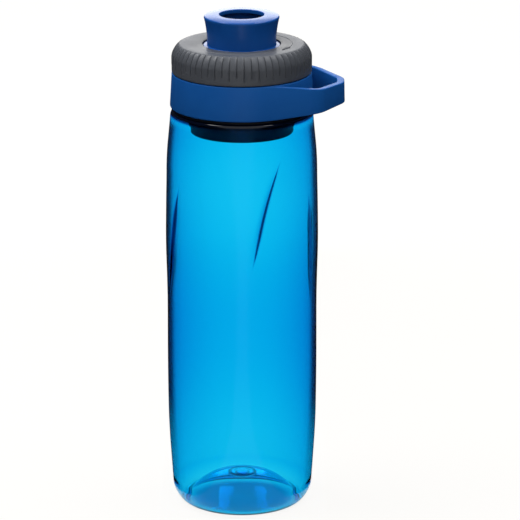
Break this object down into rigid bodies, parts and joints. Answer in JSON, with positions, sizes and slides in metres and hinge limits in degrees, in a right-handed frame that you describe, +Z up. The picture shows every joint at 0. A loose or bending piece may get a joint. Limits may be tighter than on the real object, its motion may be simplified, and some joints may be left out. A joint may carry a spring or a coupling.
{
  "type": "sports bottle",
  "caption": "Clear blue hard-plastic sports bottle with a screw lid, a finger loop on its band and a ribbed collar that twists the drinking spout up and down.",
  "frame": {"origin": "middle of the footprint of bottle and finger loop together, on the surface that the bottle stands on", "axes": "+Z up along the bottle's axis, +X towards the finger loop, -Y towards the viewer of the picture"},
  "size_m": [0.0899, 0.077, 0.255],
  "materials": {
    "clear_blue": "clear tinted, glossy",
    "lid_blue": "satin moulded",
    "spout_blue": "satin moulded, glossier lip",
    "collar_grey": "fine grained satin",
    "core_grey": "satin moulded",
    "soft_white": "soft matt"
  },
  "bodies": {
    "bottle": {"bottle_body": "clear_blue"},
    "gasket": {"rim_gasket": "soft_white"},
    "lid": {"inner_cap": "core_grey", "loop_band": "lid_blue", "stopper": "core_grey", "stopper_seal": "soft_white"},
    "collar": {"twist_collar": "collar_grey"},
    "spout": {"spout": "spout_blue", "piston_seal": "soft_white"}
  },
  "joints": [
    {"name": "lid_lift", "type": "slide", "parent": "bottle", "child": "gasket", "axis": [0, 0, 1], "range_m": [0, 0.0075]},
    {"name": "lid_turn", "type": "hinge", "parent": "gasket", "child": "lid", "pos_m": [-0.00645, 0, 0.2225], "axis": [0, 0, 1], "range_deg": [0, 540]},
    {"name": "collar_twist", "type": "hinge", "parent": "lid", "child": "collar", "pos_m": [-0.00645, 0, 0.233], "axis": [0, 0, 1], "range_deg": [-90, 0]},
    {"name": "spout_slide", "type": "slide", "parent": "lid", "child": "spout", "axis": [0, 0, 1], "range_m": [-0.008, 0]}
  ],
  "couplings": [
    {"joint": "lid_turn", "follows": "lid_lift", "rad_per_m": 1256.6},
    {"joint": "collar_twist", "follows": "spout_slide", "rad_per_m": 196.35}
  ]
}
